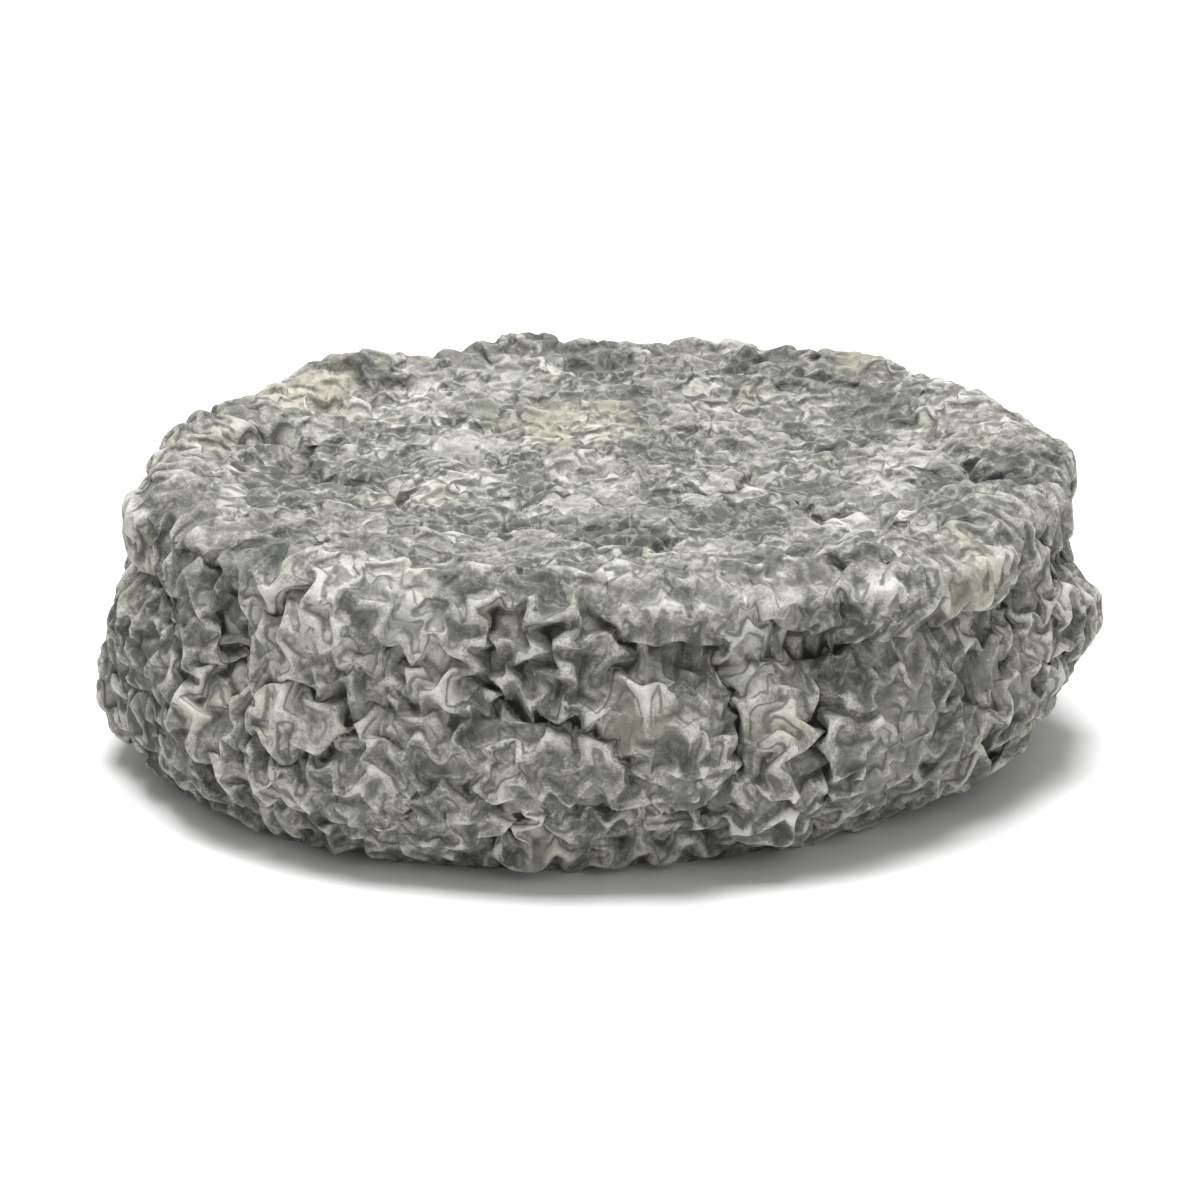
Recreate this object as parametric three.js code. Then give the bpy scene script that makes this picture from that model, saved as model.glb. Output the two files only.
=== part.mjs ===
// A whole small goat's-milk cheese wheel with a wrinkled, ash-grey rind: one natural solid.
// Millimetres, +Z up. The flat foot rests at z = 0 and the bounding box is centred on the Z axis.
import * as THREE from 'three'
import { mergeVertices } from 'three/addons/utils/BufferGeometryUtils.js'

// driving dimensions
const bellyRadius = 47      // the widest level of the side
const bellyLevel = 12.6
const waistRadius = 44.9    // the groove under the rim
const waistLevel = 21.2
const lipRadius = 45.3      // the soft lip that rolls over the groove
const crownRadius = 41.2    // the ring where the rim is highest
const wheelHeight = 28.4
const dishDepth = 1.8       // how far the middle of the top has sunk below the rim
const footRadius = 37       // the flat that the wheel stands on
const aroundSteps = 96
const profileSteps = 34

// the plan outline: a ripened wheel is neither round nor upright
const outline = {
  oval: 0.022, ovalAngle: 45,             // longer along one diagonal
  threeSided: 0.012, threeSidedAngle: 215,
  slump: 1, slumpAngle: 212,              // the lower side has crept this way, mm
  tuck: 4, tuckAngle: 325, tuckLevel: 14, // and is drawn in under the belly on this side, mm
}

// swellings and hollows of the side: angle and width in degrees, level, height and push in mm
const sideFeatures = [
  { angle: 308, width: 22, level: 20.6, height: 2.1, push: -1.8 }, // groove under the overhanging lip
  { angle: 305, width: 24, level: 25.2, height: 2.2, push: 0.9 },  // that lip
  { angle: 223, width: 4, level: 16.5, height: 4.6, push: -2.1 },  // upright pit
  { angle: 246, width: 14, level: 10, height: 5, push: 0.7 },      // swelling of the belly
  { angle: 352, width: 10, level: 15, height: 4, push: 0.8 },
  { angle: 120, width: 12, level: 19, height: 4, push: -0.9 },
]

// hollows and swellings of the top: place, spread and lift in mm
const topFeatures = [
  { x: -31, y: 1, spread: 5, lift: -1.3 },   // valley inside the rim
  { x: -21, y: -9, spread: 5, lift: -1.1 },
  { x: 35, y: -4, spread: 5, lift: -1.4 },   // hollow beside the raised rim
  { x: 42, y: 3, spread: 4.5, lift: 0.9 },
  { x: -19, y: -18, spread: 4.5, lift: 0.7 },
  { x: 22, y: -15, spread: 5, lift: -0.8 },
  { x: 6, y: 26, spread: 8, lift: 0.5 },
]

// broad folds of the rind: wavelength and height in mm
const broadFolds = { wavelength: 10.5, height: 0.42 }

const radians = THREE.MathUtils.degToRad
const bell = (distance, width) => Math.exp(-((distance / width) ** 2))

// from the middle of the foot, up the side and over the rim to the middle of the top
function wheelProfile() {
  const topLevel = wheelHeight - dishDepth
  const points = [
    [0, 0],
    [footRadius / 2, 0],
    [footRadius, 0],
    [footRadius + 4.8, 1],
    [bellyRadius - 1.8, 4.4],
    [bellyRadius - 0.2, 8.6],
    [bellyRadius, bellyLevel],
    [bellyRadius - 1, 17.2],
    [waistRadius, waistLevel],
    [lipRadius, 24.2],
    [lipRadius - 0.9, wheelHeight - 1.6],
    [crownRadius, wheelHeight],
    [crownRadius - 4.2, wheelHeight - 0.4],
    [30, topLevel + 0.5],
    [16, topLevel + 0.1],
    [0, topLevel],
  ]
  return new THREE.SplineCurve(points.map(([r, z]) => new THREE.Vector2(r, z)))
}

// the shortest way round from one angle to another, in degrees
function turnBetween(angle, other) {
  return THREE.MathUtils.euclideanModulo(angle - other + 180, 360) - 180
}

// moves a point of the true wheel of revolution to its place on the ripened one
function ripen(point) {
  const radius = Math.hypot(point.x, point.y)
  const angle = THREE.MathUtils.radToDeg(Math.atan2(point.y, point.x))
  const level = Math.max(point.z, 0)
  const share = THREE.MathUtils.clamp(radius / footRadius, 0, 1)
  const turn = (other) => radians(turnBetween(angle, other))

  let newRadius = radius * (1 + outline.oval * Math.cos(2 * turn(outline.ovalAngle))
    + outline.threeSided * Math.cos(3 * turn(outline.threeSidedAngle)))
  const low = THREE.MathUtils.clamp(1 - level / outline.tuckLevel, 0, 1) ** 1.3
  newRadius -= outline.tuck * low * share * (0.5 + 0.5 * Math.cos(turn(outline.tuckAngle))) ** 2
  const onSide = THREE.MathUtils.smoothstep(radius, crownRadius - 3, waistRadius)
  for (const { angle: middle, width, level: height, height: spread, push } of sideFeatures) {
    newRadius += onSide * push * bell(turnBetween(angle, middle), width) * bell(level - height, spread)
  }

  const creep = outline.slump * Math.max(1 - level / wheelHeight, 0) ** 1.5
  const direction = radians(angle)
  point.x = newRadius * Math.cos(direction) + creep * Math.cos(radians(outline.slumpAngle))
  point.y = newRadius * Math.sin(direction) + creep * Math.sin(radians(outline.slumpAngle))
  point.z = level
  const onTop = THREE.MathUtils.smoothstep(level, waistLevel, wheelHeight - dishDepth)
  for (const { x, y, spread, lift } of topFeatures) {
    point.z += onTop * lift * bell(Math.hypot(point.x - x, point.y - y), spread)
  }
}

// the height of the broad folds at a point: three slanting waves, each bent by the next
function foldHeight({ x, y, z }) {
  const k = 2 * Math.PI / broadFolds.wavelength
  const a = Math.sin(k * (x + 0.4 * z) + 1.3 * Math.sin(0.6 * k * y + 2))
  const b = Math.sin(k * (y - 0.5 * z) + 1.1 * Math.sin(0.7 * k * (z + x) + 4))
  const c = Math.sin(k * (z + 0.3 * x) + 1.2 * Math.sin(0.5 * k * (x - y) + 1))
  return broadFolds.height * (a + b + c) / 1.7
}

function wheelGeometry() {
  const lathe = new THREE.LatheGeometry(wheelProfile().getSpacedPoints(profileSteps), aroundSteps)
  lathe.rotateX(Math.PI / 2)
  lathe.deleteAttribute('normal')
  lathe.deleteAttribute('uv')
  const geometry = mergeVertices(lathe) // joins the seam and the points on the axis
  const position = geometry.getAttribute('position')
  const point = new THREE.Vector3()
  for (let i = 0; i < position.count; i++) {
    ripen(point.fromBufferAttribute(position, i))
    position.setXYZ(i, point.x, point.y, point.z)
  }

  geometry.computeVertexNormals()
  const normal = geometry.getAttribute('normal')
  const outward = new THREE.Vector3()
  for (let i = 0; i < position.count; i++) {
    point.fromBufferAttribute(position, i)
    outward.fromBufferAttribute(normal, i)
    const clearOfFoot = THREE.MathUtils.smoothstep(point.z, 0, 4)
    point.addScaledVector(outward, clearOfFoot * foldHeight(point))
    position.setXYZ(i, point.x, point.y, Math.max(point.z, 0))
  }
  geometry.computeBoundingBox()
  const middle = geometry.boundingBox.getCenter(new THREE.Vector3())
  geometry.translate(-middle.x, -middle.y, -geometry.boundingBox.min.z)
  geometry.computeVertexNormals()
  return geometry
}

const rind = new THREE.MeshStandardMaterial({ color: 0x8b8a82, roughness: 0.85, metalness: 0 })
const wheel = new THREE.Mesh(wheelGeometry(), rind)
wheel.name = 'cheese_wheel'

const cheese = new THREE.Group()
cheese.add(wheel)

export default cheese
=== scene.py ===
import math
import time
from concurrent.futures import ThreadPoolExecutor

import bpy
import numpy as np
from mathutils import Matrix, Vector


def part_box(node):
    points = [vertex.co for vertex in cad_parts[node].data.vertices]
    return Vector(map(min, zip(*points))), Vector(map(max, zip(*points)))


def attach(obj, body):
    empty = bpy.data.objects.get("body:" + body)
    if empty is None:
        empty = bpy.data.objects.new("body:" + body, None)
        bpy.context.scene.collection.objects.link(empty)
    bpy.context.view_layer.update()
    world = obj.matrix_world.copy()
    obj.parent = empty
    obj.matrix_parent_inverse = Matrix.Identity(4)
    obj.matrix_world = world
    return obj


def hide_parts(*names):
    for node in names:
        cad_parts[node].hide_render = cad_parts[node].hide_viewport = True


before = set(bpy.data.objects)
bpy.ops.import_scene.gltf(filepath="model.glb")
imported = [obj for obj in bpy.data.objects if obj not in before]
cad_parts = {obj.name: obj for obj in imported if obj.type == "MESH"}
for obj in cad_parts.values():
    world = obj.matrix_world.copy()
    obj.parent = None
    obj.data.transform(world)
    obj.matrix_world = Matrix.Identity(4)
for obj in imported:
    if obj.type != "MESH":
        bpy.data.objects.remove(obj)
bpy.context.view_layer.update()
startTime = time.time()
mm = 0.001
circle = 2 * math.pi


def report(text):
    print("%6.1f s  %s" % (time.time() - startTime, text), flush=True)


# the wheel without its skin folds, in mm; low and high are the CAD solid's corners
low, high = [np.array(corner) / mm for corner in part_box("cheese_wheel")]
wheel = dict(
    width=(high - low)[:2].mean(),
    height=high[2] - low[2],
    skin=1.0, skinOnTop=1.3,   # how far the folds stand out of this surface, so it is drawn smaller
    profile=[           # share of the half width, share of the height, from the top's middle down
        (0, 0.936), (0.34, 0.940), (0.64, 0.954), (0.78, 0.986), (0.87, 1.0), (0.937, 0.944),
        (0.955, 0.852), (0.957, 0.740), (0.975, 0.606), (0.993, 0.444), (0.989, 0.303),
        (0.955, 0.155), (0.883, 0.035), (0.782, 0), (0.4, 0), (0, 0)],
    footShare=0.782,                 # of the half width
    sideFrom=0.81, sideFull=0.95,    # shares of the half width where the side's features come in
    topFrom=0.75, topFull=0.936,     # shares of the height where the top's do
    oval=0.022, ovalAngle=45,
    threeSided=0.012, threeSidedAngle=215,
    slump=0.6, slumpAngle=212, slumpCurve=1.5,
    tuck=4.0, tuckAngle=325, tuckLevel=14, tuckCurve=1.3,
    # of the side: angle, width in degrees, level, height, push
    sideFeatures=[(308, 22, 20.6, 2.1, -1.8), (305, 24, 25.2, 2.2, 0.9), (223, 4, 16.5, 4.6, -2.1),
                  (246, 14, 10, 5, 0.7), (352, 10, 15, 4, 0.8), (120, 12, 19, 4, -0.9),
                  (188, 24, 23, 5, -1.0)],
    # of the top: x, y, spread, lift
    topFeatures=[(-31, 1, 5, -1.3), (-21, -9, 5, -1.1), (35, -4, 5, -1.4), (42, 3, 4.5, 0.9),
                 (-19, -18, 4.5, 0.7), (22, -15, 5, -0.8), (6, 26, 8, 0.5),
                 (-25, 36, 10, 1.2), (33, 28, 9, 1.2), (-32, 31, 8, 0.7), (20, 38, 9, 0.5)],
    # creases in the top: from x, y to x, y, width, depth
    topCreases=[(11, -5, 24, -14, 1.3, 1.3), (21, -20, 30, -24, 1.4, 1.0), (-34, 7, -16, -11, 2.2, 1.1),
                (-3, -19, 6, -26, 1.6, 0.8), (-24, 24, -10, 31, 1.6, 0.7), (31, 12, 38, -8, 2.4, 1.2)],
    lumps=0.4, lumpSize=17,
    pouches=0.8, pouchSize=15, pouchesOffTop=0.7,
    liftFrom=0.5, liftFull=5,           # levels between which the lumps and pouches come in
    creaseWander=1.5, creaseWanderSize=9,
    ring=0.6, ringStart=0.55, ringEnd=0.86,   # how freely the top's outer ring folds, and where it lies
    rubbedSide=0.36, rubbedTop=0.68, rubRounds=6,   # how far the folds go to their smoothed shape
    crestRounds=3, hollowRounds=40,     # of smoothing, under which a crest and a hollow are measured
    cells=240,          # of the fine skin, along a quarter turn
    triangles=196000,   # left of the net once it is thinned
    seed=11)


def smooth(value, start, end):   # 0 before start, 1 after end, and an S between
    share = np.clip((value - start) / (end - start), 0, 1)
    return share * share * (3 - 2 * share)


def bell(distance, width):       # e to minus the square of distance over width
    return np.exp(-(distance / width) ** 2)


def waves(place, size, seed, count=28):
    # a sum of sine waves of wavelengths near size, each with its own direction and phase
    rng = np.random.default_rng(seed)
    direction = rng.normal(size=(count, 3))
    direction /= np.linalg.norm(direction, axis=1, keepdims=True)
    direction *= circle / (size * rng.uniform(0.75, 1.35, (count, 1)))
    return np.sin(place @ direction.T + rng.uniform(0, circle, count)).sum(1) * math.sqrt(2 / count)


def cubeSphere(cells):
    # six square grids whose lines are great circles a steady angle apart, joined along their edges
    line = np.arange(cells + 1)
    i, j = [part.ravel() for part in np.meshgrid(line, line, indexing="ij")]
    zero, full = np.zeros_like(i), np.full_like(i, cells)
    faces = [(full, i, j), (zero, j, i), (j, full, i), (i, zero, j), (i, j, full), (j, i, zero)]
    lattice = np.concatenate([np.stack(face, 1) for face in faces])
    key = (lattice[:, 0] * (cells + 1) + lattice[:, 1]) * (cells + 1) + lattice[:, 2]
    first, number = np.unique(key, return_index=True, return_inverse=True)[1:]
    number = number.reshape(6, cells + 1, cells + 1)
    quads = np.stack([number[:, :-1, :-1], number[:, 1:, :-1], number[:, 1:, 1:], number[:, :-1, 1:]], -1)
    direction = np.tan((lattice[first] / cells - 0.5) * math.pi / 2)
    direction /= np.linalg.norm(direction, axis=1, keepdims=True)
    return direction, quads.reshape(-1, 4), number


def profileTable(points, steps=40):
    # a smooth curve through the points: each span is the cubic that meets its neighbours' slopes
    points = np.array(points, float)
    ends = np.concatenate([2 * points[:1] - points[1:2], points, 2 * points[-1:] - points[-2:-1]])
    share = np.arange(steps)[:, None] / steps
    spans = []
    for a, b, c, d in zip(ends, ends[1:], ends[2:], ends[3:]):
        slope = (c - a) + share * (2 * a - 5 * b + 4 * c - d + share * (3 * (b - c) + d - a))
        spans.append(b + 0.5 * share * slope)
    curve = np.concatenate(spans + [points[-1:]])
    return curve[:, 0], np.maximum(curve[:, 1], 0)


def polarTable(radius, level):
    # the polar angle for each point of the profile: its logarithmic tangent grows by step / radius,
    # so that the sphere's small squares stay square on the wheel
    step = np.hypot(np.diff(radius), np.diff(level))
    middle = np.maximum((radius[1:] + radius[:-1]) / 2, 1e-3)
    growth = np.concatenate([[0], np.cumsum(step / middle)])
    belly = np.argmax(radius)
    return 2 * np.arctan(np.exp(growth - growth[belly]))


def wheelSurface(direction):
    # polar angle and turn give a point of the profile's revolution, which is then pulled out of round:
    # the radius swells with two and three times the turn, and bells push the side and lift the top
    half = wheel["width"] / 2 - wheel["skin"]
    tall = wheel["height"] - wheel["skinOnTop"] * wheel["skin"]
    radius, level = profileTable(wheel["profile"])
    radius, level = radius * half, level * tall
    polar = polarTable(radius, level)
    theta = np.arccos(np.clip(direction[:, 2], -1, 1))
    r, z = np.interp(theta, polar, radius), np.interp(theta, polar, level)
    turn = np.degrees(np.arctan2(direction[:, 1], direction[:, 0]))

    def turnFrom(angle):
        return np.radians((turn - angle + 180) % 360 - 180)

    foot = wheel["footShare"] * half
    newR = r * (1 + wheel["oval"] * np.cos(2 * turnFrom(wheel["ovalAngle"]))
                + wheel["threeSided"] * np.cos(3 * turnFrom(wheel["threeSidedAngle"])))
    tucked = np.clip(1 - z / wheel["tuckLevel"], 0, 1) ** wheel["tuckCurve"] * np.clip(r / foot, 0, 1)
    newR -= wheel["tuck"] * tucked * (0.5 + 0.5 * np.cos(turnFrom(wheel["tuckAngle"]))) ** 2
    onSide = smooth(r, wheel["sideFrom"] * half, wheel["sideFull"] * half)
    for angle, width, at, spread, push in wheel["sideFeatures"]:
        newR = newR + onSide * push * bell(np.degrees(turnFrom(angle)), width) * bell(z - at, spread)
    creep = wheel["slump"] * np.clip(1 - z / tall, 0, 1) ** wheel["slumpCurve"]
    x = newR * np.cos(np.radians(turn)) + creep * math.cos(math.radians(wheel["slumpAngle"]))
    y = newR * np.sin(np.radians(turn)) + creep * math.sin(math.radians(wheel["slumpAngle"]))
    onTop = smooth(z, wheel["topFrom"] * tall, wheel["topFull"] * tall)
    for atX, atY, spread, lift in wheel["topFeatures"]:
        z = z + onTop * lift * bell(np.hypot(x - atX, y - atY), spread)
    flat = np.stack([x, y, np.zeros_like(z)], 1)
    wander = wheel["creaseWander"] * waves(flat, wheel["creaseWanderSize"], wheel["seed"] + 2)
    for startX, startY, endX, endY, width, depth in wheel["topCreases"]:
        spanX, spanY = endX - startX, endY - startY
        along = ((x - startX) * spanX + (y - startY) * spanY) / (spanX ** 2 + spanY ** 2)
        held = np.clip(along, 0, 1)
        off = np.hypot(x - startX - held * spanX + 0.7 * wander, y - startY - held * spanY + wander)
        z = z - onTop * depth * bell(off, width)
    return np.stack([x, y, z], 1)


def vertexNormals(place, quads):
    # the mean of the crossed diagonals of the squares round each point
    a, b, c, d = [place[quads[:, k]] for k in range(4)]
    across = np.cross(c - a, d - b)
    normal = np.stack([np.bincount(quads.ravel(), np.repeat(across[:, k], 4), len(place))
                       for k in range(3)], 1)
    return normal / np.linalg.norm(normal, axis=1, keepdims=True)


def neighbourTable(quads, rest):
    # for each point its four neighbours along the grid and its four across. A net is as stiff one way
    # as another where a side weighs 1 and a diagonal weighs 1/2 less or more the cosine of the skew.
    sides = np.concatenate([quads[:, [k, (k + 1) % 4]] for k in range(4)])
    sides = np.unique(np.sort(sides, 1), axis=0)
    long, short = [((rest[quads[:, k + 2]] - rest[quads[:, k]]) ** 2).sum(1) for k in (0, 1)]
    skew = (long - short) / (long + short)
    pairs = np.concatenate([sides, quads[:, [0, 2]], quads[:, [1, 3]]])
    weight = np.concatenate([np.ones(len(sides)), 0.5 - skew, 0.5 + skew])
    pairs, weight = np.concatenate([pairs, pairs[:, ::-1]]), np.concatenate([weight, weight])
    isAcross = np.tile(np.arange(len(pairs) // 2) >= len(sides), 2)
    order = np.lexsort((isAcross, pairs[:, 0]))
    pairs, weight = pairs[order], weight[order]
    start = np.searchsorted(pairs[:, 0], np.arange(len(rest)))
    slot = np.arange(len(pairs)) - start[pairs[:, 0]]
    table = np.repeat(np.arange(len(rest))[:, None], 8, 1)
    weights = np.zeros((len(rest), 8), np.float32)
    table[pairs[:, 0], slot] = pairs[:, 1]
    weights[pairs[:, 0], slot] = weight
    return table, weights


def growSkin(place, rest, normal, links, growth, ceiling, skin):
    # the skin is a net of springs that want to be longer than the wheel lets them be. It bends
    # stiffly, is held by soft curd that gives more easily outward than inward, and is pressed flat
    # above the ceiling. Each step adds the forces to the speed, slows it and moves the points.
    # The arrays hold x, y and z as rows, and are worked through in parts small enough for the cache.
    table, weight = links
    place, rest, normal = [np.ascontiguousarray(part.T, np.float32) for part in (place, rest, normal)]
    count = place.shape[1]
    parts = [slice(at, min(at + skin["part"], count)) for at in range(0, count, skin["part"])]
    bend, restBend, force = [np.zeros_like(place) for _ in range(3)]
    restLength, wanted = np.empty_like(weight), np.empty_like(weight)
    ramp = 0

    def gaps(field, near, part):
        gap = np.take(field, near[part], axis=1)
        gap -= field[:, part, None]
        return gap

    def measureRest(part):
        gap = gaps(rest, table, part)
        restLength[part] = np.sqrt(np.einsum("kij,kij->ij", gap, gap)) + 1e-6
        restBend[:, part] = 0.5 * np.einsum("ij,kij->ki", weight[part], gap)
        wanted[part] = restLength[part] * (0.5 * (growth[table[part]] + growth[part, None]) - 1)

    def pullAndBend(part):
        gap = gaps(place, table, part)
        length = np.sqrt(np.einsum("kij,kij->ij", gap, gap)) + np.float32(1e-6)
        pull = weight[part] * (1 - (restLength[part] + ramp * wanted[part]) / length)
        force[:, part] = np.einsum("ij,kij->ki", pull, gap)
        bend[:, part] = (0.5 * np.einsum("ij,kij->ki", weight[part], gap) - restBend[:, part]) * stiff[part]

    def holdBack(part):
        force[:, part] -= 0.5 * skin["bend"] * np.einsum("ij,kij->ki", weight[part], gaps(bend, table, part))
        moved, out = place[:, part] - rest[:, part], normal[:, part]
        rise = (moved * out).sum(0)
        hold = np.where(rise > 0, skin["outward"], skin["inward"]) / stiff[part] * rise
        slide = skin["slide"] / stiff[part]
        hold += skin["press"] * np.maximum(rise - ceiling[part], 0) - slide * rise
        force[:, part] -= slide * moved + hold * out

    speed = np.zeros_like(place)
    with ThreadPoolExecutor(4) as workers:
        list(workers.map(measureRest, parts))
        # a wide cell bends as easily as a narrow one, and the skin is thicker here and thinner there
        cell = restLength[:, :4].mean(1)
        thickness = np.exp(skin["uneven"] * waves(rest.T, skin["unevenSize"], wheel["seed"] + 60))
        stiff = np.clip((np.median(cell) / cell) ** 2 * thickness, skin["softest"], skin["stiffest"])
        stiff = stiff.astype(np.float32)
        for step in range(skin["steps"]):
            ramp = np.float32(min(1, skin["head"] + step / (skin["ramp"] * skin["steps"])))
            list(workers.map(pullAndBend, parts))
            list(workers.map(holdBack, parts))
            speed = skin["slow"] * (speed + skin["pace"] * force)
            place += skin["pace"] * speed
    return place.T


def refine(moved, number):
    # halves every cell of the six grids: the new lines take the mean of the lines beside them
    grid = moved[number]
    for axis in (1, 2):
        grid = np.moveaxis(grid, axis, 0)
        between = (grid[1:] + grid[:-1]) / 2
        fine = np.empty((2 * len(grid) - 1,) + grid.shape[1:], grid.dtype)
        fine[::2], fine[1::2] = grid, between
        grid = np.moveaxis(fine, 0, axis)
    return grid


# steps of the simulation, then how stiffly the skin bends and is held, and how much longer it wants to be
coarseSkin = dict(
    steps=450, head=0.0, ramp=0.6, pace=0.5, slow=0.9, part=6000, startNoise=0.06,
    bend=0.05, outward=0.005, inward=0.012, slide=0.005, press=0.12,
    growth=1.07, uneven=0.2, unevenSize=11, softest=0.35, stiffest=2.8)
fineSkin = dict(
    coarseSkin, steps=480, head=0.23,
    bend=0.056, outward=0.0047, inward=0.017, slide=0.0043, growth=1.44)
skinPlaces = dict(
    onTop=-0.38, onFoot=-0.5,                                  # share of the growth added
    lowSide=0.22, lowLevel=5, lowSpread=5,
    patches=0.12, patchSize=16,
    openCeiling=9, topCeiling=0.8, footCeiling=0.1)            # mm over the wheel


def topShare(rest, normal, start, end):
    # 1 in the middle of the top, less in its outer ring, 0 on the side and the foot
    half = wheel["width"] / 2
    inRing = smooth(np.hypot(rest[:, 0], rest[:, 1]), wheel["ringStart"] * half, wheel["ringEnd"] * half)
    return smooth(normal[:, 2], start, end) * (1 - wheel["ring"] * inRing)


def growthMap(rest, normal, full):
    # less growth on the pressed top and the foot, and slow waves of more and less all over
    onTop, onFoot = topShare(rest, normal, 0.5, 0.95), smooth(-normal[:, 2], 0.7, 0.98)
    uneven = skinPlaces["patches"] * waves(rest, skinPlaces["patchSize"], wheel["seed"] + 5)
    nearFoot = bell(rest[:, 2] - skinPlaces["lowLevel"], skinPlaces["lowSpread"]) * (1 - onFoot)
    share = 1 + skinPlaces["onTop"] * onTop + skinPlaces["onFoot"] * onFoot
    share += skinPlaces["lowSide"] * nearFoot + uneven
    ceiling = skinPlaces["openCeiling"] + (skinPlaces["topCeiling"] - skinPlaces["openCeiling"]) * onTop
    ceiling += (skinPlaces["footCeiling"] - skinPlaces["openCeiling"]) * onFoot
    return (1 + (full - 1) * share).astype(np.float32), ceiling.astype(np.float32)


def spread(value, links, rounds):
    # each round takes a value part of the way to the mean of its neighbours
    table, weight = links
    for _ in range(rounds):
        near = value[table] - value[:, None] if value.ndim == 1 else value[table] - value[:, None, :]
        share = weight if value.ndim == 1 else weight[:, :, None]
        value = value + (share * near).sum(1) / 8
    return value


def wrinkledWheel():
    # grown on a coarse net for the broad folds, then on one of half the cell for those between them
    place = None
    for level, skin in enumerate((coarseSkin, fineSkin)):
        cells = wheel["cells"] // 2 * (level + 1)
        direction, quads, number = cubeSphere(cells)
        rest = wheelSurface(direction)
        normal = vertexNormals(rest, quads)
        # slow lumps all over, and on the side pouches: the size of a wave, so they part in creases,
        # less 0.8, which is that size's mean
        onSide = 1 - wheel["pouchesOffTop"] * smooth(normal[:, 2], 0.3, 0.9)
        pouch = np.abs(waves(rest, wheel["pouchSize"], wheel["seed"] + 1)) - 0.8
        lift = wheel["lumps"] * waves(rest, wheel["lumpSize"], wheel["seed"])
        lift += wheel["pouches"] * onSide * pouch
        free = smooth(rest[:, 2], wheel["liftFrom"], wheel["liftFull"])
        rest = rest + (free * lift)[:, None] * normal
        normal = vertexNormals(rest, quads)
        links = neighbourTable(quads, rest)
        growth, ceiling = growthMap(rest, normal, skin["growth"])
        if place is None:
            rng = np.random.default_rng(wheel["seed"])
            place = rest + normal * rng.normal(0, skin["startNoise"], (len(rest), 1))
        else:
            moved = np.empty_like(rest)
            moved[number.ravel()] = refine(place - lastRest, lastNumber).reshape(-1, 3)
            place = rest + moved
        place = growSkin(place, rest, normal, links, growth, ceiling, skin)
        lastRest, lastNumber = rest, number
        report("skin grown on %d points" % len(place))
    return place, rest, normal, quads, links, direction


def rubDown(place, rest, normal, links):
    # the top has been pressed and handled: its folds go part of the way to their own smoothed shape
    onTop = topShare(rest, normal, 0.5, 0.95)
    share = wheel["rubbedSide"] + (wheel["rubbedTop"] - wheel["rubbedSide"]) * onTop
    place = place + share[:, None] * (spread(place, links, wheel["rubRounds"]) - place)
    place[:, 2] = np.maximum(place[:, 2], 0)
    return place


def skinMarks(place, rest, normal, quads, links):
    # crest: how sharply the skin bends outward. hollow: how deep it lies under its own smoothed level.
    # Both are shares of the value nine points in ten stay under. upward: 1 on the top, 0 on the side
    out = vertexNormals(place, quads)
    crest = spread(((place - spread(place, links, wheel["crestRounds"])) * out).sum(1), links, 1)
    hollow = ((spread(place, links, wheel["hollowRounds"]) - place) * out).sum(1)
    crest, hollow = [value / np.percentile(np.abs(value), 90) for value in (crest, hollow)]
    return dict(crest=crest, hollow=hollow, upward=topShare(rest, normal, 0.2, 0.8))


def buildMesh(name, place, quads):
    mesh = bpy.data.meshes.new(name)
    mesh.vertices.add(len(place))
    mesh.vertices.foreach_set("co", (place * mm).astype(np.float32).ravel())
    mesh.loops.add(quads.size)
    mesh.loops.foreach_set("vertex_index", quads.astype(np.int32).ravel())
    mesh.polygons.add(len(quads))
    mesh.polygons.foreach_set("loop_start", np.arange(0, quads.size, 4, dtype=np.int32))
    mesh.polygons.foreach_set("use_smooth", np.ones(len(quads), bool))
    mesh.update(calc_edges=True)
    piece = bpy.data.objects.new(name, mesh)
    bpy.context.collection.objects.link(piece)
    return piece


def thin(piece, triangles):
    # collapses edges where the skin is flattest until so many triangles are left
    decimate = piece.modifiers.new("thin", "DECIMATE")
    decimate.ratio = triangles / (2 * len(piece.data.polygons))
    decimate.use_collapse_triangulate = True
    shown = piece.evaluated_get(bpy.context.evaluated_depsgraph_get())
    mesh = bpy.data.meshes.new_from_object(shown)
    piece.modifiers.clear()
    piece.data = mesh
    place = np.empty(3 * len(mesh.vertices), np.float32)
    mesh.vertices.foreach_get("co", place)
    place[2::3] = place[2::3].clip(0)      # the foot stays on the floor
    mesh.vertices.foreach_set("co", place)
    mesh.update()


# the map for the finish, in mm on a square sheet
sheet = dict(
    size=192, gap=2,
    edge=0.40,          # how far up and down the sphere the side's belt goes
    discScale=1.42)     # of the top and the foot, so that a mm there is as long as on the belt


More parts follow.
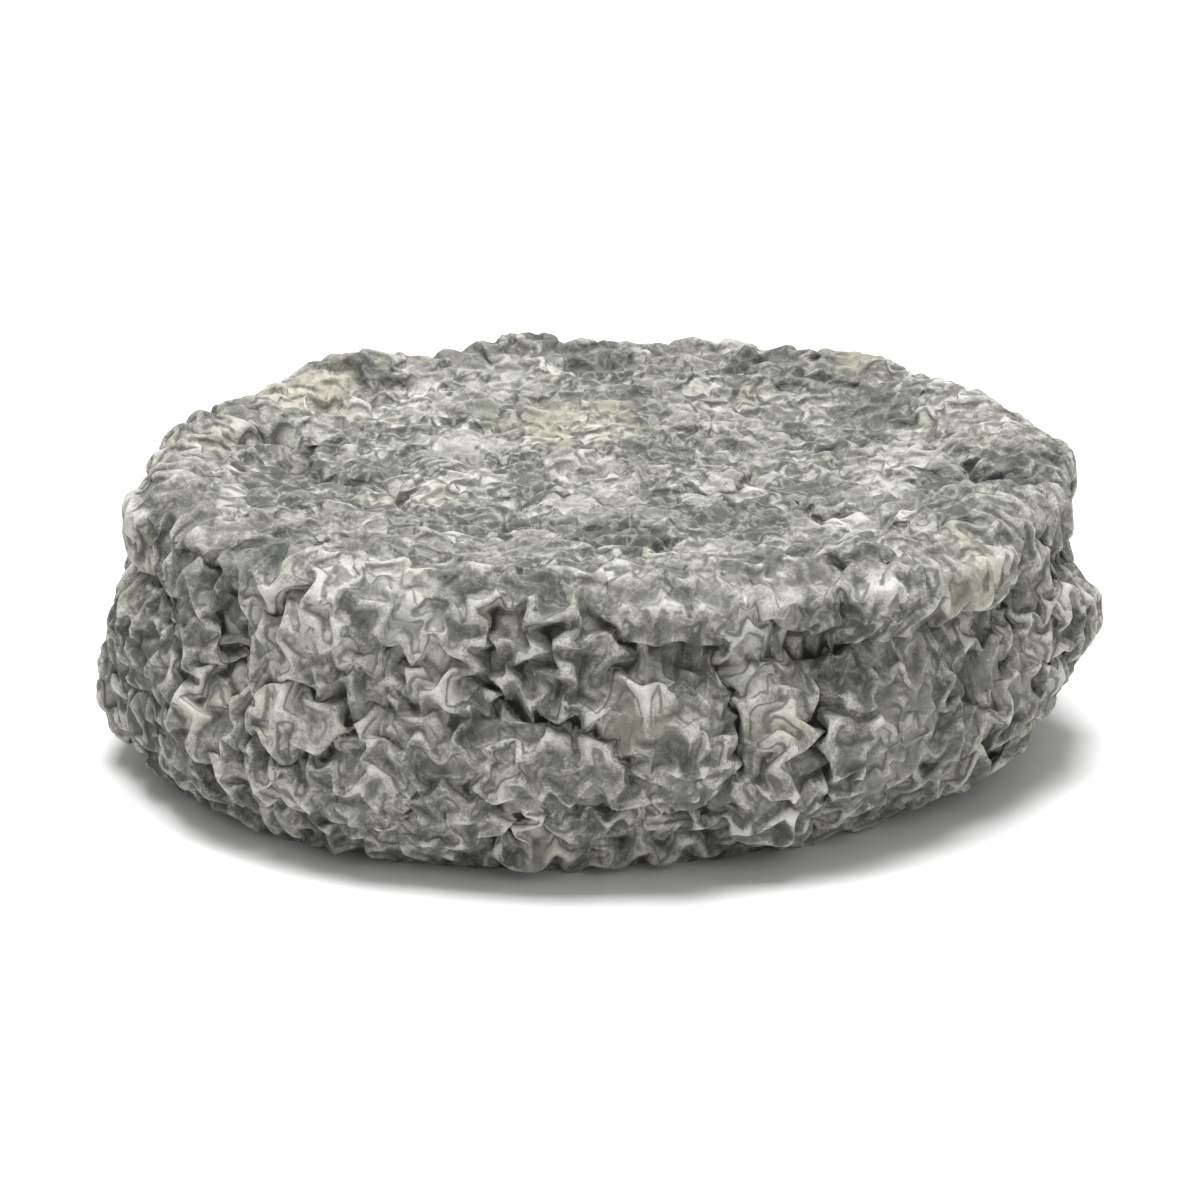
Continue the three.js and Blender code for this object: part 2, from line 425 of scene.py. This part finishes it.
def flatMap(mesh):
    # the top and the foot lie as two round sheets, each seen from the sphere's far pole; the side
    # as two halves of its belt, one over the other, as tall as the sphere's conformal cylinder
    way = np.empty(len(mesh.vertices) * 3, np.float32)
    mesh.attributes["way"].data.foreach_get("vector", way)
    corner = np.empty(len(mesh.loops), np.int32)
    mesh.loops.foreach_get("vertex_index", corner)
    way = way.reshape(-1, 3)[corner].reshape(-1, 3, 3)   # face, corner, axis
    way = way / np.linalg.norm(way, axis=2, keepdims=True)
    middle = way.mean(1)
    half, gap, edge = wheel["width"] / 2, sheet["gap"], sheet["edge"]
    turn = np.arctan2(way[:, :, 1], way[:, :, 0])
    centre = np.arctan2(middle[:, 1], middle[:, 0])[:, None]
    turn = centre + (turn - centre + math.pi) % circle - math.pi     # no face spans the join
    behind = centre > 0
    beltTall = 2 * half * math.atanh(edge)
    x = half * np.where(behind, turn, turn + math.pi) + gap
    y = half * np.arctanh(way[:, :, 2].clip(-0.95, 0.95)) + np.where(behind, 1.5, 0.5) * beltTall + gap
    spot = np.stack([x, np.where(behind, y + gap, y)], 2)
    radius = sheet["discScale"] * half
    discSize = radius * math.sqrt(1 - edge ** 2) / (1 + edge)
    level = 2 * beltTall + 3 * gap + discSize
    for side, across in ((1, discSize + gap), (-1, 3 * discSize + 2 * gap)):
        disc = radius * way[:, :, :2] / (1 + side * way[:, :, 2:]).clip(0.05) * (1, side) + (across, level)
        spot = np.where((side * middle[:, 2] > edge)[:, None, None], disc, spot)
    spot = (spot / sheet["size"]).astype(np.float32)
    mesh.uv_layers.new(name="OFBake").data.foreach_set("uv", spot.ravel())
    report("map reaches %.2f, %.2f" % tuple(spot.reshape(-1, 2).max(0)))


class Shade:
    # a socket of a shader: sums and products of it add Math nodes
    def __init__(self, tree, socket=None):
        self.tree, self.socket = tree, socket

    def add(self, kind, settings=None, sockets=None, out=0):
        # any node: settings first, then the values or links of its sockets by name or number
        node = self.tree.nodes.new("ShaderNode" + kind)
        for name, value in (settings or {}).items():
            if name == "stops":
                while len(node.color_ramp.elements) < len(value):
                    node.color_ramp.elements.new(1)
                for element, (at, colour) in zip(node.color_ramp.elements, value):
                    element.position, element.color = at, (*colour, 1)
            else:
                setattr(node, name, value)
        for key, value in (sockets or {}).items():
            if isinstance(value, Shade):
                self.tree.links.new(value.socket, node.inputs[key])
            else:
                node.inputs[key].default_value = value
        return Shade(self.tree, node.outputs[out])

    def math(self, operation, *values):
        return self.add("Math", {"operation": operation}, dict(enumerate(values)))

    def __add__(self, other):
        return self.math("ADD", self, other)

    def __sub__(self, other):
        return self.math("SUBTRACT", self, other)

    def __rsub__(self, other):
        return self.math("SUBTRACT", other, self)

    def __mul__(self, other):
        return self.math("MULTIPLY", self, other)

    __radd__, __rmul__ = __add__, __mul__

    def between(self, start, end):     # 0 at start, 1 at end, eased
        return self.add("MapRange", {"interpolation_type": "SMOOTHSTEP"}, {0: self, 1: start, 2: end})

    def under(self, mask, colour):     # this colour, with the other over it where the mask is 1
        return self.add("Mix", {"data_type": "RGBA"}, {0: mask, 6: self, 7: (*colour, 1)}, out=2)

    def noise(self, size, detail=2, rough=0.5, twist=0.0):
        # fractal noise at this place whose largest grains are so many mm across, from -0.5 to 0.5
        return self.add("TexNoise", {}, {
            "Vector": self, "Scale": 1 / (size * mm), "Detail": detail, "Roughness": rough,
            "Distortion": twist}) - 0.5


# colours of the rind, from bare ash to full bloom, then sizes in mm
finish = dict(
    slate=(0.045, 0.050, 0.047), ash=(0.095, 0.097, 0.086), grey=(0.205, 0.201, 0.176),
    bloom=(0.375, 0.368, 0.332), white=(0.480, 0.473, 0.445), thread=(0.500, 0.493, 0.458),
    cream=(0.460, 0.440, 0.335), moss=(0.165, 0.175, 0.135),
    # the next line holds two painted colours: pinkish curd darkened as painted shade for the pits, and
    # near-black painted shade for the slits
    pit=(0.100, 0.078, 0.066), slitShade=(0.012, 0.014, 0.014),
    patchSize=10, marbleSize=4.5, leafSize=4.2, leafBend=5.5, swirlSize=3.5,
    bandSize=2.0, speckSize=0.5, grainSize=0.16, creamSize=10, mossSize=7,
    creamMost=0.35, mossMost=0.5, flank=0.68, seam=0.62, hem=0.24, threads=0.78, pits=0.5, slitShadeStrength=0.92,
    relief=0.25, reliefStrength=0.55, roughness=0.85, sheen=0.10, specular=0.25)

# blooms and bare places of their own: x, y, z, reach in mm, colour, strength
stains = [
    (-3, 17, 27, 8, "cream", 0.55), (-10, 31, 28, 7, "white", 0.4), (-30, 22, 27, 7, "cream", 0.5),
    (-14, 8, 27, 6, "white", 0.4), (27, 33, 27, 6, "cream", 0.45), (17, 5, 27, 4, "white", 0.5),
    (23, -18, 27, 4.5, "white", 0.7), (27, -7, 27, 3.6, "white", 0.7), (31, 3, 27, 3.5, "white", 0.5),
    (-17, -40, 25, 4, "white", 0.5), (33, -31, 24, 4, "cream", 0.35),
    (-27, 0, 27, 9, "slate", 0.6), (-16, -14, 27, 8, "ash", 0.6), (3, -23, 27, 6, "slate", 0.7),
    (36, -4, 27, 8, "slate", 0.7), (28, 18, 27, 8, "ash", 0.5), (14, -34, 26, 6, "ash", 0.7),
    (22, -40, 21, 5, "slate", 0.9), (14, -44, 21, 5, "slate", 0.7),
    (3, -46, 17, 3.5, "cream", 0.25), (-4, -45, 3, 4, "cream", 0.5), (10, -46, 8, 5, "ash", 0.6),
    # the wide ash stain low on the left (-40, -20, 12) is partly painted shade: it darkens that side of the
    # wheel as a whole
    (-40, -20, 12, 9, "ash", 0.6), (27, -38, 12, 6, "bloom", 0.35), (38, -27, 14, 5, "bloom", 0.35),
    (33, -34, 8, 3, "slate", 0.7)]


def rindMaterial():
    material = bpy.data.materials.new("rind")
    material.use_nodes = True
    tree = material.node_tree
    shader = tree.nodes["Principled BSDF"]
    start = Shade(tree)
    place = start.add("TexCoord", out=3)
    crest, hollow, upward = [start.add("Attribute", {"attribute_name": name}, out=2)
                             for name in ("crest", "hollow", "upward")]
    patch = place.noise(finish["patchSize"], 3, 0.6, 0.6)
    marble = place.noise(finish["marbleSize"], 2, 0.45, 1.2)
    band = place.noise(finish["bandSize"], 3, 0.5, 2.2)
    speck = place.noise(finish["speckSize"], 2, 0.6)
    grain = place.noise(finish["grainSize"], 2, 0.6)

    # leaves: cells of a few mm whose edges wander, each paler or darker as a whole
    swirlScale = 1 / (finish["swirlSize"] * mm)
    swirl = start.add("TexNoise", {}, {"Vector": place, "Scale": swirlScale, "Detail": 3}, out=1)
    bent = start.add("VectorMath", {"operation": "MULTIPLY_ADD"},
                     {0: swirl, 1: [finish["leafBend"] * mm] * 3, 2: place})
    cells = {"Vector": bent, "Scale": 1 / (finish["leafSize"] * mm)}
    leaf = start.add("TexVoronoi", {"feature": "F1"}, cells, out=1) - 0.5
    seam = start.add("TexVoronoi", {"feature": "DISTANCE_TO_EDGE"}, cells) + (speck + band) * 0.12

    # bloom thickens in patches; bands of it run through the ash like marbling
    level = patch * 0.9 + marble * 1.2 + leaf * (upward * 0.3 + 0.5) + band * (0.8 - upward * 0.2)
    # the level also drops a little in the hollows: a slight painted shade
    level = 0.465 + level * (1 - upward * 0.22) + speck * 0.3 + grain * 0.6 + upward * 0.03 - hollow * 0.03
    colour = start.add("ValToRGB", {"stops": [
        (0.0, finish["slate"]), (0.24, finish["ash"]), (0.5, finish["grey"]),
        (0.76, finish["bloom"]), (1.0, finish["white"])]}, {0: level})
    for x, y, z, reach, name, strength in stains:    # full in the middle, ragged towards its reach
        away = start.add("VectorMath", {"operation": "DISTANCE"},
                         {0: place, 1: (x * mm, y * mm, z * mm)}, out=1)
        stain = (away * (1 / (reach * mm)) + marble * 1.6 + band * 1.1).between(1.0, 0.45)
        colour = colour.under(stain * strength, finish[name])
    for name in ("cream", "moss"):
        blotch = (place.noise(finish[name + "Size"], 2, 0.5, 0.5) + band * 0.15).between(0.10, 0.22)
        colour = colour.under(blotch * finish[name + "Most"], finish[name])

    # bare slate follows the flanks in bands of even level, beside the crests
    off = hollow + marble + band * 0.6 + 0.12
    flank = off.math("ABSOLUTE", off).between(0.50, 0.12)
    here = (patch * 2 + marble * 2.5 + grain).between(-0.6, 0.4)
    colour = colour.under(flank * here * finish["flank"], finish["slate"])
    # on the top, a dark seam and a pale hem round each leaf
    dark = seam.between(0.10, 0.03) * (patch * 3 + marble + 0.5).between(0.1, 0.8)
    colour = colour.under(dark * upward * finish["seam"], finish["slate"])
    hem = seam.between(0.08, 0.12) * seam.between(0.20, 0.13)
    colour = colour.under(hem * upward * finish["hem"], finish["thread"])
    # a thin pale thread on the crests; pinkish curd low in the pits, made darker there as painted shade;
    # near-black painted shade in the slits
    thread = (crest + speck * 0.9 + grain * 0.8).between(1.0, 1.75)
    here = (marble * 2.0 + 0.9 - upward * 0.55).between(0.0, 1.0)
    colour = colour.under(thread * here * finish["threads"], finish["thread"])
    # pinkish curd in the deep hollows, darker than the rind round it: partly real colour, partly painted
    # shade
    pit = (hollow + marble * 0.7).between(0.75, 1.5)
    colour = colour.under(pit * finish["pits"], finish["pit"])
    # painted shade: near black where the skin lies deepest under its folds
    slitShade = (hollow * 0.6 + speck * 0.5 - crest * 0.6).between(0.95, 1.8)
    colour = colour.under(slitShade * finish["slitShadeStrength"], finish["slitShade"])
    tree.links.new(colour.socket, shader.inputs["Base Color"])

    height = grain * 0.35 + speck * 0.5 + band * 0.9 + seam.between(0.0, 0.22) * upward * 1.3
    bump = start.add("Bump", {}, {
        "Strength": finish["reliefStrength"], "Distance": finish["relief"] * mm, "Height": height})
    tree.links.new(bump.socket, shader.inputs["Normal"])
    shader.inputs["Roughness"].default_value = finish["roughness"]
    shader.inputs["Sheen Weight"].default_value = finish["sheen"]
    shader.inputs["Specular IOR Level"].default_value = finish["specular"]
    return material


place, rest, normal, quads, links, direction = wrinkledWheel()
place = rubDown(place, rest, normal, links)
marks = skinMarks(place, rest, normal, quads, links)
report("folds rubbed down and measured")
rind = buildMesh("cheese_rind", place, quads)
for name, values in marks.items():
    rind.data.attributes.new(name, "FLOAT", "POINT").data.foreach_set("value", values.astype(np.float32))
rind.data.attributes.new("way", "FLOAT_VECTOR", "POINT").data.foreach_set(
    "vector", direction.astype(np.float32).ravel())
thin(rind, wheel["triangles"])
flatMap(rind.data)
rind.data.materials.append(rindMaterial())
report("rind of %d triangles" % len(rind.data.polygons))
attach(rind, "root")
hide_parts("cheese_wheel")

# a pale floor, a soft light over the wheel and a weak one in front: metres and watts
studio = dict(
    floorReach=2, floorTone=0.9, world=0.42,
    topPower=12.5, topSize=0.5, topPlace=(-0.03, 0.0, 0.8),
    frontPower=1.5, frontSize=0.8, frontPlace=(0.4, -0.8, 0.4))
floorMesh = bpy.data.meshes.new("floor")
reach = studio["floorReach"]
floorMesh.from_pydata([(-reach, -reach, 0), (reach, -reach, 0), (reach, reach, 0), (-reach, reach, 0)],
                      [], [(0, 1, 2, 3)])
floor = bpy.data.objects.new("floor", floorMesh)
bpy.context.collection.objects.link(floor)
paper = bpy.data.materials.new("floor")
paper.use_nodes = True
tone = studio["floorTone"]
paper.node_tree.nodes["Principled BSDF"].inputs["Base Color"].default_value = (tone, tone, tone, 1)
floorMesh.materials.append(paper)

# camera
view = dict(elevation=17.5, distance=0.5, lens=156, target=(-0.0003, 0, 0.0134))
lens = bpy.data.cameras.new("camera")
camera = bpy.data.objects.new("camera", lens)
bpy.context.collection.objects.link(camera)
target = Vector(view["target"])
tilt = math.radians(view["elevation"])
camera.location = target + Vector((0, -math.cos(tilt), math.sin(tilt))) * view["distance"]
camera.rotation_euler = (target - camera.location).to_track_quat("-Z", "Y").to_euler()
lens.lens = view["lens"]
bpy.context.scene.camera = camera

world = bpy.data.worlds.new("world")
bpy.context.scene.world = world
world.use_nodes = True
world.node_tree.nodes["Background"].inputs[0].default_value = (1, 1, 1, 1)
world.node_tree.nodes["Background"].inputs[1].default_value = studio["world"]


def addLight(name):
    power, size, place = [studio[name + part] for part in ("Power", "Size", "Place")]
    data = bpy.data.lights.new(name, "AREA")
    data.energy, data.size = power, size
    lamp = bpy.data.objects.new(name, data)
    bpy.context.collection.objects.link(lamp)
    lamp.location = place
    lamp.rotation_euler = (target - Vector(place)).to_track_quat("-Z", "Y").to_euler()


addLight("top")
addLight("front")
report("floor, camera and lights placed")
bpy.context.scene.view_settings.view_transform = "Standard"
